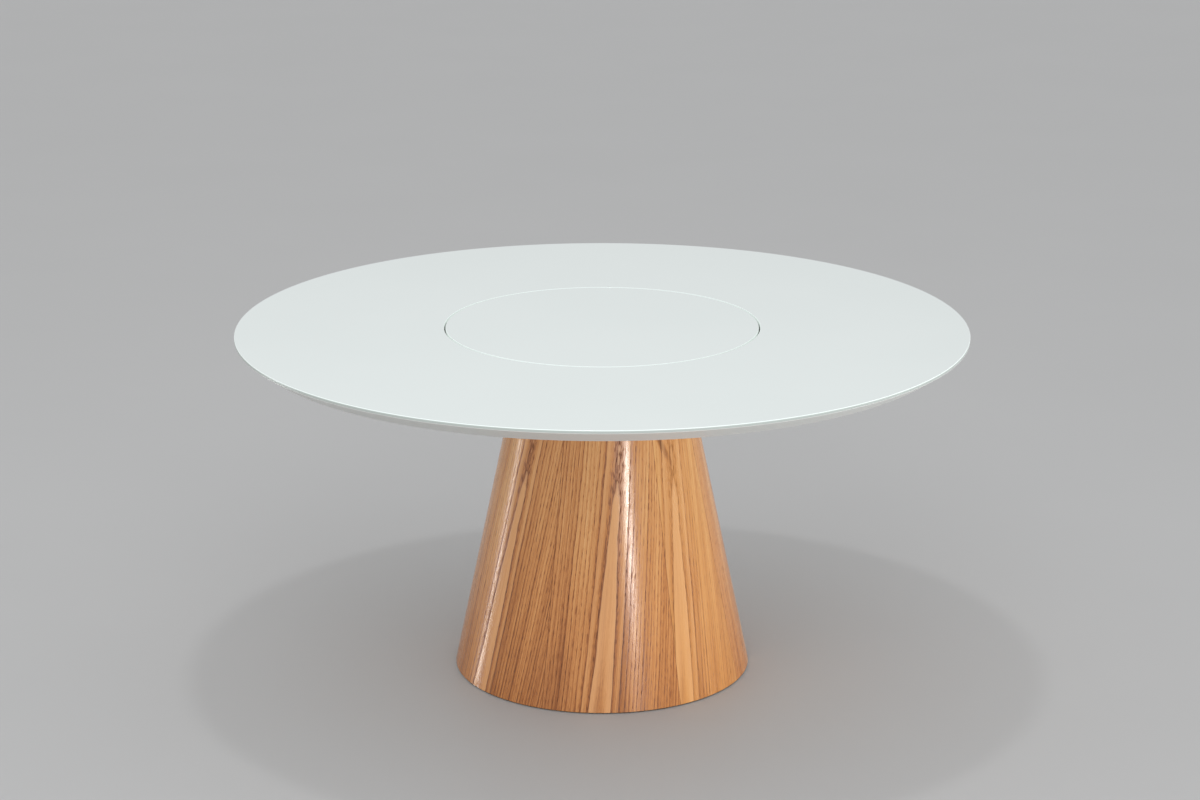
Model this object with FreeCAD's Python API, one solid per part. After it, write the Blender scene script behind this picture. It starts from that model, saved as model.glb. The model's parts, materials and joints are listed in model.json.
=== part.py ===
"""Round dining table on a veneered cone, with a glass turntable let flush into a painted glass top.

Millimetres, +Z up. The origin is on the floor, under the centre of the table.
"""

import FreeCAD
import Part
import math
import os

OUT = "parts"
FULL_TURN = 360.0
AXIS = FreeCAD.Vector(0, 0, 1)
ORIGIN = FreeCAD.Vector(0, 0, 0)

# Overall sizes
table_height = 780.0
top_diameter = 1600.0

# Painted glass: a ring on the top and a disc on the turntable
glass_thickness = 6.0
glass_arris = 1.5

# Lacquered boards under the glass, with one undercut bevel run round both
ring_board_thickness = 18.0
floor_board_thickness = 9.0
rim_land = 1.0
bevel_run = 39.0

# Stiffening board between the top and the base
sub_top_thickness = 18.0
sub_top_overlap = 104.0
sub_top_chamfer = 8.0
sub_top_screw_count = 12
sub_top_screw_place_share = 0.5
sub_top_screw_bite_share = 0.5

# Turntable
turntable_diameter = 685.0
turntable_gap = 3.5
carrier_setback = 3.0

# Ball bearing of the turntable: a fixed ring, and a turning ring inside it that stands a little higher
ball_circle_diameter = 240.0
ball_diameter = 5.0
ball_count = 24
ball_clearance = 0.25
race_width = 20.0
race_height = 8.0
race_lift = 1.0
race_gap = 1.6
race_chamfer = 0.6
cage_wall = 0.8
bearing_screw_count = 6
bearing_screw_diameter = 4.0
bearing_screw_head = 8.0
bearing_screw_bite_share = 0.75
carrier_screw_tail_share = 0.5

# Cone of the base: outer sizes over the veneer
base_bottom_diameter = 660.0
base_top_diameter = 352.0
veneer_thickness = 0.6
full_leaf_count = 6
closing_leaf_angle = 34.2
veneer_first_seam = -24.7
panel_thickness = 9.0
panel_count = 4
glue_line = 0.1

# Skeleton inside the cone
top_plate_thickness = 18.0
mid_ring_thickness = 18.0
mid_ring_width = 60.0
mid_ring_place_share = 0.5
bottom_ring_thickness = 18.0
bottom_ring_width = 60.0
rib_count = 8
rib_first_angle = 22.5
rib_width = 18.0
rib_depth = 36.0
rib_clearance = 0.2

# Wood screws of the boards and of the skeleton
wood_screw_diameter = 5.0
wood_screw_head = 10.0
rib_screw_bite = 32.0
screw_clearance = 0.1

# Bolts that hold the top on the base
bolt_diameter = 8.0
bolt_head_flats = 13.0
bolt_head_height = 5.3
bolt_inset = 28.0
bolt_hole_clearance = 0.5
bolt_engagement_share = 0.8
washer_diameter = 24.0
washer_thickness = 2.0
insert_diameter = 12.0
insert_length = 13.0
insert_flange = 1.5
insert_flange_diameter = 16.0
thread_clearance = 0.1

# Glides under the bottom ring, one between each two ribs
glide_height = 3.0
glide_diameter = 28.0
glide_chamfer = 0.6
glide_screw_diameter = 3.0
glide_screw_head = 6.0
glide_screw_sink = 0.4
glide_screw_bite_share = 0.7

# Heights of the layers, from the top down
glass_bottom = table_height - glass_thickness
ring_board_bottom = glass_bottom - ring_board_thickness
floor_board_bottom = ring_board_bottom - floor_board_thickness
sub_top_bottom = floor_board_bottom - sub_top_thickness
base_top = sub_top_bottom
base_bottom = glide_height

# Radii of the top
top_radius = top_diameter / 2
opening_radius = turntable_diameter / 2 + turntable_gap
sub_top_radius = opening_radius + sub_top_overlap
sub_top_screw_circle = opening_radius + sub_top_overlap * sub_top_screw_place_share
bevel_top = glass_bottom - rim_land

# Bearing: it stands on the floor board, and the carrier fills the rest of the opening's depth
bearing_height = race_height + race_lift
bearing_bottom = ring_board_bottom
turning_race_bottom = bearing_bottom + race_lift
fixed_race_top = bearing_bottom + race_height
carrier_bottom = bearing_bottom + bearing_height
ball_height = bearing_bottom + bearing_height / 2
ball_circle = ball_circle_diameter / 2
groove_radius = ball_diameter / 2 + ball_clearance
turning_race_outer = ball_circle - race_gap / 2
turning_race_inner = turning_race_outer - race_width
fixed_race_inner = ball_circle + race_gap / 2
fixed_race_outer = fixed_race_inner + race_width
turning_screw_circle = (turning_race_inner + turning_race_outer) / 2
fixed_screw_circle = (fixed_race_inner + fixed_race_outer) / 2

# Cone: radial sizes follow from the slope
base_slope = (base_bottom_diameter - base_top_diameter) / 2 / (base_top - base_bottom)
radial_share = math.hypot(1, base_slope)
panel_inset = (veneer_thickness + glue_line) * radial_share
skeleton_inset = panel_inset + (panel_thickness + glue_line) * radial_share

# Heights of the skeleton's pieces
top_plate_bottom = base_top - top_plate_thickness
bottom_ring_top = base_bottom + bottom_ring_thickness
mid_ring_travel = top_plate_bottom - mid_ring_thickness - bottom_ring_top
mid_ring_bottom = bottom_ring_top + mid_ring_travel * mid_ring_place_share
mid_ring_top = mid_ring_bottom + mid_ring_thickness


def cone_radius(height, inset=0.0):
    """Radius of the cone at a height, less a radial inset."""
    return base_bottom_diameter / 2 - base_slope * (height - base_bottom) - inset


def rim_radius(height):
    """Radius of the bevelled edge at a height."""
    share = (bevel_top - height) / (bevel_top - floor_board_bottom)
    return top_radius - bevel_run * share


def rib_face(height):
    """Distance of a rib's flat outer face from the axis, where its corners meet the panels."""
    return math.sqrt(cone_radius(height, skeleton_inset) ** 2 - (rib_width / 2) ** 2)


def face_of(points):
    """Flat face in the XZ plane from a closed outline of (radius, height) points."""
    corners = [FreeCAD.Vector(radius, 0, height) for radius, height in points]
    return Part.Face(Part.makePolygon(corners + corners[:1]))


def turned(points, angle=FULL_TURN):
    """Solid turned about the table's axis from an outline of (radius, height) points."""
    return face_of(points).revolve(ORIGIN, AXIS, angle)


def placed(shape, radius, height, angle):
    """Copy of a shape made at the origin, set out at a radius, a height and an angle round the axis."""
    copy = shape.copy()
    copy.translate(FreeCAD.Vector(radius, 0, height))
    copy.rotate(ORIGIN, AXIS, angle)
    return copy


def angles(count, first=0.0):
    """Evenly spaced angles round the axis."""
    return [first + FULL_TURN * number / count for number in range(count)]


def circle_of(shape, count, radius, height, first=0.0):
    """Copies of a shape on a circle round the axis."""
    return [placed(shape, radius, height, angle) for angle in angles(count, first)]


def upside_down(shape):
    """Copy of a shape turned over about the X axis."""
    copy = shape.copy()
    copy.rotate(ORIGIN, FreeCAD.Vector(1, 0, 0), FULL_TURN / 2)
    return copy


def drilled(shape, tools):
    """The one solid that is left of a shape when the tools are cut from it."""
    return shape.cut(tools).Solids[0]


def countersunk(diameter, head, length):
    """Countersunk screw with its head at the origin and its point downwards."""
    shank = diameter / 2
    rim = head / 2
    return turned([(0, 0), (rim, 0), (shank, shank - rim), (shank, diameter - length), (0, -length)])


def countersunk_hole(diameter, head, length):
    """Hole that such a screw sits in, open past the face that its head is flush with."""
    shank = diameter / 2 + screw_clearance
    rim = head / 2 + screw_clearance
    return turned([
        (0, screw_clearance),
        (rim, screw_clearance),
        (rim, 0),
        (shank, shank - rim),
        (shank, diameter - length),
        (0, -length - screw_clearance),
    ])


def screw_and_hole(diameter, head, length):
    """A countersunk screw and the hole that it sits in."""
    return countersunk(diameter, head, length), countersunk_hole(diameter, head, length)


def save(node, *solids):
    """Writes one node's solids to its own file."""
    shape = solids[0] if len(solids) == 1 else Part.makeCompound(list(solids))
    shape.exportStep(os.path.join(OUT, node + ".step"))


def save_each(name, solids):
    """Writes each solid of a row of like pieces to its own numbered node."""
    for number, solid in enumerate(solids, start=1):
        save(f"{name}_{number:02d}", solid)


# Screws, each with its hole, made once at the origin

def sub_top_screw():
    """Screw from under the sub-top, through the floor board, into the ring board."""
    length = sub_top_thickness + floor_board_thickness + ring_board_thickness * sub_top_screw_bite_share
    return screw_and_hole(wood_screw_diameter, wood_screw_head, length)


def fixed_race_screw():
    """Screw from above through the fixed ring into the floor board."""
    length = race_height + floor_board_thickness * bearing_screw_bite_share
    return screw_and_hole(bearing_screw_diameter, bearing_screw_head, length)


def carrier_screw():
    """Screw from above through the carrier into the turning ring."""
    length = glass_bottom - carrier_bottom + race_height * carrier_screw_tail_share
    return screw_and_hole(bearing_screw_diameter, bearing_screw_head, length)


def rib_screw(plate):
    """Screw through a plate of the skeleton into the end of a rib."""
    return screw_and_hole(wood_screw_diameter, wood_screw_head, plate + rib_screw_bite)


def glide_screw():
    """Screw from below through a glide into the bottom ring."""
    length = glide_height - glide_screw_sink + bottom_ring_thickness * glide_screw_bite_share
    return screw_and_hole(glide_screw_diameter, glide_screw_head, length)


def bolt_circle():
    """Radius of the mounting bolts, inside the upper ends of the ribs."""
    return rib_face(top_plate_bottom) - rib_depth - bolt_inset


def half_pitch():
    """Angle from a rib to the middle of the space beside it."""
    return FULL_TURN / rib_count / 2


def rib_screw_places():
    """(radius, height) of the screws at the upper and the lower end of a rib."""
    upper = rib_face(top_plate_bottom) - rib_depth / 2
    lower = rib_face(bottom_ring_top) - rib_depth / 2
    return (upper, base_top), (lower, base_bottom)


# Top

def glass_ring():
    """Ring of painted glass, with an arris on both upper edges."""
    return turned([
        (opening_radius, glass_bottom),
        (top_radius, glass_bottom),
        (top_radius, table_height - glass_arris),
        (top_radius - glass_arris, table_height),
        (opening_radius + glass_arris, table_height),
        (opening_radius, table_height - glass_arris),
    ])


def ring_board():
    """Upper board, open for the turntable, with a narrow land and the first part of the bevel."""
    board = turned([
        (opening_radius, ring_board_bottom),
        (rim_radius(ring_board_bottom), ring_board_bottom),
        (top_radius, bevel_top),
        (top_radius, glass_bottom),
        (opening_radius, glass_bottom),
    ])
    hole = upside_down(sub_top_screw()[1])
    return drilled(board, circle_of(hole, sub_top_screw_count, sub_top_screw_circle, sub_top_bottom))


def floor_board():
    """Lower board, which closes the turntable's opening and carries its bearing."""
    board = turned([
        (0, floor_board_bottom),
        (rim_radius(floor_board_bottom), floor_board_bottom),
        (rim_radius(ring_board_bottom), ring_board_bottom),
        (0, ring_board_bottom),
    ])
    edge_hole = upside_down(sub_top_screw()[1])
    race_hole = fixed_race_screw()[1]
    holes = circle_of(edge_hole, sub_top_screw_count, sub_top_screw_circle, sub_top_bottom)
    holes += circle_of(race_hole, bearing_screw_count, fixed_screw_circle, fixed_race_top)
    return drilled(board, holes)


def sub_top():
    """Stiffening board under the top, with its lower edge chamfered and its threaded inserts let in."""
    board = turned([
        (0, sub_top_bottom),
        (sub_top_radius - sub_top_chamfer, sub_top_bottom),
        (sub_top_radius, sub_top_bottom + sub_top_chamfer),
        (sub_top_radius, floor_board_bottom),
        (0, floor_board_bottom),
    ])
    screw_hole = upside_down(sub_top_screw()[1])
    holes = circle_of(screw_hole, sub_top_screw_count, sub_top_screw_circle, sub_top_bottom)
    seat = insert_body(screw_clearance, 0)
    holes += circle_of(seat, rib_count, bolt_circle(), sub_top_bottom, rib_first_angle + half_pitch())
    return drilled(board, holes)


def sub_top_screws():
    """Screws that pull the sub-top up against the boards."""
    screw = upside_down(sub_top_screw()[0])
    return circle_of(screw, sub_top_screw_count, sub_top_screw_circle, sub_top_bottom)


# Turntable

def turntable_glass():
    """Disc of painted glass, flush with the glass ring."""
    radius = turntable_diameter / 2
    return turned([
        (0, glass_bottom),
        (radius, glass_bottom),
        (radius, table_height - glass_arris),
        (radius - glass_arris, table_height),
        (0, table_height),
    ])


def turntable_carrier():
    """Board under the turntable's glass, screwed to the turning ring of the bearing."""
    radius = turntable_diameter / 2 - carrier_setback
    board = turned([
        (0, carrier_bottom),
        (radius, carrier_bottom),
        (radius, glass_bottom),
        (0, glass_bottom),
    ])
    holes = circle_of(carrier_screw()[1], bearing_screw_count, turning_screw_circle, glass_bottom)
    return drilled(board, holes)


def race(inner, outer, bottom):
    """Flat bearing ring with its corners broken."""
    top = bottom + race_height
    return turned([
        (inner, bottom + race_chamfer),
        (inner + race_chamfer, bottom),
        (outer - race_chamfer, bottom),
        (outer, bottom + race_chamfer),
        (outer, top - race_chamfer),
        (outer - race_chamfer, top),
        (inner + race_chamfer, top),
        (inner, top - race_chamfer),
    ])


def ball_groove():
    """Round groove that the balls run in, half in each ring."""
    return Part.makeTorus(ball_circle, groove_radius, FreeCAD.Vector(0, 0, ball_height))


def turning_race():
    """Inner ring, which carries the carrier and has its screw holes."""
    ring = race(turning_race_inner, turning_race_outer, turning_race_bottom)
    holes = circle_of(carrier_screw()[1], bearing_screw_count, turning_screw_circle, glass_bottom)
    return drilled(ring, [ball_groove()] + holes)


def fixed_race():
    """Outer ring, which stands on the floor board."""
    ring = race(fixed_race_inner, fixed_race_outer, bearing_bottom)
    holes = circle_of(fixed_race_screw()[1], bearing_screw_count, fixed_screw_circle, fixed_race_top)
    return drilled(ring, [ball_groove()] + holes)


def ball_cage():
    """Thin strip between the rings, with a round pocket for each ball."""
    inner = ball_circle - cage_wall / 2
    outer = ball_circle + cage_wall / 2
    strip = turned([
        (inner, turning_race_bottom),
        (outer, turning_race_bottom),
        (outer, fixed_race_top),
        (inner, fixed_race_top),
    ])
    start = FreeCAD.Vector(-race_gap, 0, 0)
    pocket = Part.makeCylinder(groove_radius, race_gap * 2, start, FreeCAD.Vector(1, 0, 0))
    return drilled(strip, circle_of(pocket, ball_count, ball_circle, ball_height))


def bearing_balls():
    """Balls of the bearing."""
    return circle_of(Part.makeSphere(ball_diameter / 2), ball_count, ball_circle, ball_height)


def fixed_race_screws():
    """Screws that hold the fixed ring down."""
    return circle_of(fixed_race_screw()[0], bearing_screw_count, fixed_screw_circle, fixed_race_top)


def carrier_screws():
    """Screws that hold the carrier to the turning ring, hidden under the glass."""
    return circle_of(carrier_screw()[0], bearing_screw_count, turning_screw_circle, glass_bottom)


# Base

def cone_sector(inset, thickness, angle):
    """Sector of a conical sheet whose outer face lies a radial inset inside the cone."""
    depth = inset + thickness * radial_share
    return turned([
        (cone_radius(base_bottom, depth), base_bottom),
        (cone_radius(base_bottom, inset), base_bottom),
        (cone_radius(base_top, inset), base_top),
        (cone_radius(base_top, depth), base_top),
    ], angle)


def veneer_leaves():
    """Tapered leaves of veneer round the cone: equal ones, and a narrower one that closes the turn."""
    angle = (FULL_TURN - closing_leaf_angle) / full_leaf_count
    full = cone_sector(0.0, veneer_thickness, angle)
    starts = [veneer_first_seam + angle * number for number in range(full_leaf_count)]
    leaves = [placed(full, 0.0, 0.0, start) for start in starts]
    closing = cone_sector(0.0, veneer_thickness, closing_leaf_angle)
    return leaves + [placed(closing, 0.0, 0.0, veneer_first_seam - closing_leaf_angle)]


def cone_panels():
    """Bent plywood panels under the veneer, jointed on ribs."""
    panel = cone_sector(panel_inset, panel_thickness, FULL_TURN / panel_count)
    return circle_of(panel, panel_count, 0.0, 0.0, rib_first_angle)


def skeleton_ring(bottom, top, width):
    """Ring, or a disc where it has no width, whose edge follows the inside of the panels."""
    inner = cone_radius(bottom, skeleton_inset) - width if width else 0
    return turned([
        (inner, bottom),
        (cone_radius(bottom, skeleton_inset), bottom),
        (cone_radius(top, skeleton_inset), top),
        (inner, top),
    ])


def rib_bar(clearance=0.0):
    """Rib along the inside of the cone in the XZ plane, or the notch for it."""
    half = rib_width / 2 + clearance
    outline = [
        (rib_face(bottom_ring_top) + clearance, bottom_ring_top),
        (rib_face(top_plate_bottom) + clearance, top_plate_bottom),
        (rib_face(top_plate_bottom) - rib_depth - clearance, top_plate_bottom),
        (rib_face(bottom_ring_top) - rib_depth - clearance, bottom_ring_top),
    ]
    bar = face_of(outline).extrude(FreeCAD.Vector(0, 2 * half, 0))
    bar.translate(FreeCAD.Vector(0, -half, 0))
    return bar


def ribs():
    """Ribs that stand between the bottom ring and the top plate."""
    (upper, upper_height), (lower, lower_height) = rib_screw_places()
    upper_hole = placed(rib_screw(top_plate_thickness)[1], upper, upper_height, 0.0)
    lower_hole = placed(upside_down(rib_screw(bottom_ring_thickness)[1]), lower, lower_height, 0.0)
    bar = drilled(rib_bar(), [upper_hole, lower_hole])
    return circle_of(bar, rib_count, 0.0, 0.0, rib_first_angle)


def top_plate():
    """Disc at the top of the skeleton, drilled for the mounting bolts and the rib screws."""
    plate = skeleton_ring(top_plate_bottom, base_top, 0)
    radius, height = rib_screw_places()[0]
    holes = circle_of(rib_screw(top_plate_thickness)[1], rib_count, radius, height, rib_first_angle)
    hole = Part.makeCylinder(bolt_diameter / 2 + bolt_hole_clearance, top_plate_thickness)
    holes += circle_of(hole, rib_count, bolt_circle(), top_plate_bottom, rib_first_angle + half_pitch())
    return drilled(plate, holes)


def mid_ring():
    """Ring half way up, notched round the ribs."""
    ring = skeleton_ring(mid_ring_bottom, mid_ring_top, mid_ring_width)
    return drilled(ring, circle_of(rib_bar(rib_clearance), rib_count, 0.0, 0.0, rib_first_angle))


def bottom_ring():
    """Ring at the foot of the cone, which carries the ribs and the glides."""
    ring = skeleton_ring(base_bottom, bottom_ring_top, bottom_ring_width)
    radius, height = rib_screw_places()[1]
    rib_hole = upside_down(rib_screw(bottom_ring_thickness)[1])
    holes = circle_of(rib_hole, rib_count, radius, height, rib_first_angle)
    glide_hole = upside_down(glide_screw()[1])
    first = rib_first_angle + half_pitch()
    holes += circle_of(glide_hole, rib_count, glide_circle(), glide_screw_sink, first)
    return drilled(ring, holes)


def rib_screws():
    """Screws at both ends of every rib."""
    (upper, upper_height), (lower, lower_height) = rib_screw_places()
    top_screw = rib_screw(top_plate_thickness)[0]
    bottom_screw = upside_down(rib_screw(bottom_ring_thickness)[0])
    screws = circle_of(top_screw, rib_count, upper, upper_height, rib_first_angle)
    return screws + circle_of(bottom_screw, rib_count, lower, lower_height, rib_first_angle)


# Bolts between the base and the top

def insert_body(clearance, bore):
    """Flanged insert standing on its flange, or the seat for it where it has no bore."""
    outer = insert_diameter / 2 + clearance
    flange = insert_flange_diameter / 2 + clearance
    length = insert_length + clearance
    return turned([
        (bore, 0),
        (flange, 0),
        (flange, insert_flange + clearance),
        (outer, insert_flange + clearance),
        (outer, length),
        (bore, length),
    ])


def threaded_inserts():
    """Threaded inserts let into the underside of the sub-top."""
    body = insert_body(0.0, bolt_diameter / 2 + thread_clearance)
    return circle_of(body, rib_count, bolt_circle(), sub_top_bottom, rib_first_angle + half_pitch())


def bolt_washers():
    """Wide washers under the bolt heads."""
    inner = bolt_diameter / 2 + bolt_hole_clearance
    outer = washer_diameter / 2
    washer = turned([(inner, -washer_thickness), (outer, -washer_thickness), (outer, 0), (inner, 0)])
    return circle_of(washer, rib_count, bolt_circle(), top_plate_bottom, rib_first_angle + half_pitch())


def mounting_bolts():
    """Hexagon bolts from inside the cone, up through the top plate."""
    corner = bolt_head_flats / math.sqrt(3)
    sides = 6
    hexagon = [
        FreeCAD.Vector(corner * math.cos(math.radians(turn)), corner * math.sin(math.radians(turn)), 0)
        for turn in angles(sides)
    ]
    head_face = Part.Face(Part.makePolygon(hexagon + hexagon[:1]))
    head = head_face.extrude(FreeCAD.Vector(0, 0, bolt_head_height))
    length = washer_thickness + top_plate_thickness + insert_length * bolt_engagement_share
    shank = Part.makeCylinder(bolt_diameter / 2, length, FreeCAD.Vector(0, 0, bolt_head_height))
    bolt = head.fuse(shank).removeSplitter().Solids[0]
    height = top_plate_bottom - washer_thickness - bolt_head_height
    return circle_of(bolt, rib_count, bolt_circle(), height, rib_first_angle + half_pitch())


# Glides

def glide_circle():
    """Radius of the glides, along the middle of the bottom ring."""
    return cone_radius(base_bottom, skeleton_inset) - bottom_ring_width / 2


def glides():
    """Plastic glides with a chamfered foot, each drilled for its screw."""
    radius = glide_diameter / 2
    disc = turned([
        (0, 0),
        (radius - glide_chamfer, 0),
        (radius, glide_chamfer),
        (radius, glide_height),
        (0, glide_height),
    ])
    hole = placed(upside_down(glide_screw()[1]), 0.0, glide_screw_sink, 0.0)
    well = Part.makeCylinder(glide_screw_head / 2 + screw_clearance, glide_screw_sink)
    glide = drilled(disc, [hole, well])
    return circle_of(glide, rib_count, glide_circle(), 0.0, rib_first_angle + half_pitch())


def glide_screws():
    """Screws of the glides, with their heads sunk clear of the floor."""
    screw = upside_down(glide_screw()[0])
    return circle_of(screw, rib_count, glide_circle(), glide_screw_sink, rib_first_angle + half_pitch())


def main():
    """Builds every piece and writes its file."""
    os.makedirs(OUT, exist_ok=True)
    save("glass_ring", glass_ring())
    save("ring_board", ring_board())
    save("floor_board", floor_board())
    save("sub_top", sub_top())
    save("sub_top_screws", *sub_top_screws())
    save("turntable_glass", turntable_glass())
    save("turntable_carrier", turntable_carrier())
    save("carrier_screws", *carrier_screws())
    save("bearing_turning_race", turning_race())
    save("bearing_fixed_race", fixed_race())
    save("bearing_screws", *fixed_race_screws())
    save("bearing_cage", ball_cage())
    save("bearing_balls", *bearing_balls())
    save_each("veneer_leaf", veneer_leaves())
    save_each("cone_panel", cone_panels())
    save("top_plate", top_plate())
    save("mid_ring", mid_ring())
    save("bottom_ring", bottom_ring())
    save_each("rib", ribs())
    save("rib_screws", *rib_screws())
    save("mounting_bolts", *mounting_bolts())
    save("bolt_washers", *bolt_washers())
    save("threaded_inserts", *threaded_inserts())
    save_each("glide", glides())
    save("glide_screws", *glide_screws())


main()
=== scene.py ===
"""Round dining table: a painted glass top with a flush turntable, on an oak-veneered cone.

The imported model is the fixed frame, in metres, with +Z up and the floor at zero. Its pieces keep their
places. This script turns the glass and the bearing's fixed ring, draws the screws and bolts, gives every
piece its finish, and sets the studio and the camera.
"""

import json
import logging
import math
from dataclasses import dataclass
from enum import Enum
from typing import Any

import bmesh
import bpy
from bmesh.types import BMesh, BMVert
from bpy.types import ID, ColorRamp, Material, Node, NodeSocket, Object
from mathutils import Color, Euler, Matrix, Vector

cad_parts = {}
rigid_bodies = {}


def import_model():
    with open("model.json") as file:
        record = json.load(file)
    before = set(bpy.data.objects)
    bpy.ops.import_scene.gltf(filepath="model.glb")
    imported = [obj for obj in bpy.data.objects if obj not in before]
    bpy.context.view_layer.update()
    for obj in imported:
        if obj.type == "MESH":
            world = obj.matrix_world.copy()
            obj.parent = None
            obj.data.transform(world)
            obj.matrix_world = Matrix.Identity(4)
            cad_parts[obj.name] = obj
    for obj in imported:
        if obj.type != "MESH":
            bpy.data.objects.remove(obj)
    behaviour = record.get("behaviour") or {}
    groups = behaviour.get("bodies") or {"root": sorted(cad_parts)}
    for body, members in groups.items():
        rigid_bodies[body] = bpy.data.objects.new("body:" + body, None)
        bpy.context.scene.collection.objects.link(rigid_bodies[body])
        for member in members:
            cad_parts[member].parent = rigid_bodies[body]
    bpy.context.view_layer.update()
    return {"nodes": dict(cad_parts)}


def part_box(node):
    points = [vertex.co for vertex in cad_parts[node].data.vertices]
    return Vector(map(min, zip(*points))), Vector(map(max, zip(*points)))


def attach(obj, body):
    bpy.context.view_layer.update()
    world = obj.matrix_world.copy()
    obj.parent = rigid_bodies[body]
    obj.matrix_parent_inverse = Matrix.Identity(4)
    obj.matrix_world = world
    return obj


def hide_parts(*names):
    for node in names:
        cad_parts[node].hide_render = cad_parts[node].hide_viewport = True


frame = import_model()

LOG = logging.getLogger("dining_table")
TINY = 1e-6

Colour = tuple[float, float, float, float]
Point = tuple[float, float, float]
Pair = tuple[float, float]


def srgb(red: int, green: int, blue: int) -> Colour:
    """Linear colour, with full alpha, for a screen colour whose channels run from 0 to 255."""
    linear = Color((red / 255, green / 255, blue / 255)).from_srgb_to_scene_linear()
    return linear.r, linear.g, linear.b, 1.0


def darker(colour: Colour, share: float) -> Colour:
    """A colour with only a share of its light."""
    red, green, blue, alpha = colour
    return share * red, share * green, share * blue, alpha


def polar(radius: float, turn: float) -> Pair:
    """Point at a radius and an angle about an axis."""
    return radius * math.cos(turn), radius * math.sin(turn)


class Signal:
    """A shader socket that takes part in Python arithmetic."""

    def __init__(self, graph: "Graph", socket: NodeSocket) -> None:
        """Wraps one output socket of a graph."""
        self.graph = graph
        self.socket = socket

    def __add__(self, other: "Signal | float") -> "Signal":
        """Sum of two values."""
        return self.graph.maths("ADD", self, other)

    def __radd__(self, other: float) -> "Signal":
        """Sum with a number on the left."""
        return self.graph.maths("ADD", other, self)

    def __sub__(self, other: "Signal | float") -> "Signal":
        """Difference of two values."""
        return self.graph.maths("SUBTRACT", self, other)

    def __rsub__(self, other: float) -> "Signal":
        """Difference with a number on the left."""
        return self.graph.maths("SUBTRACT", other, self)

    def __mul__(self, other: "Signal | float") -> "Signal":
        """Product of two values."""
        return self.graph.maths("MULTIPLY", self, other)

    def __rmul__(self, other: float) -> "Signal":
        """Product with a number on the left."""
        return self.graph.maths("MULTIPLY", other, self)

    def __truediv__(self, other: "Signal | float") -> "Signal":
        """Quotient of two values."""
        return self.graph.maths("DIVIDE", self, other)

    def __rtruediv__(self, other: float) -> "Signal":
        """Quotient with a number on the left."""
        return self.graph.maths("DIVIDE", other, self)

    def __pow__(self, other: "Signal | float") -> "Signal":
        """Power of a value."""
        return self.graph.maths("POWER", self, other)

    def __rpow__(self, other: float) -> "Signal":
        """Power of a number on the left."""
        return self.graph.maths("POWER", other, self)

    def __abs__(self) -> "Signal":
        """Size of a value without its sign."""
        return self.graph.maths("ABSOLUTE", self)

    def floor(self) -> "Signal":
        """Whole number below the value."""
        return self.graph.maths("FLOOR", self)

    def root(self) -> "Signal":
        """Square root of the value."""
        return self.graph.maths("SQRT", self)

    def sine(self) -> "Signal":
        """Sine of the value."""
        return self.graph.maths("SINE", self)

    def at_least(self, other: "Signal | float") -> "Signal":
        """Larger of two values."""
        return self.graph.maths("MAXIMUM", self, other)

    def rise(self, low: float, high: float) -> "Signal":
        """Smooth step from 0 at low to 1 at high, which falls where high is the lower value."""
        inputs = {"Value": self, "From Min": low, "From Max": high}
        return self.graph.node("ShaderNodeMapRange", {"interpolation_type": "SMOOTHSTEP"}, inputs)

    def output(self, name: str) -> "Signal":
        """Another output of the node that this value comes from."""
        return Signal(self.graph, self.socket.node.outputs[name])


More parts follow.
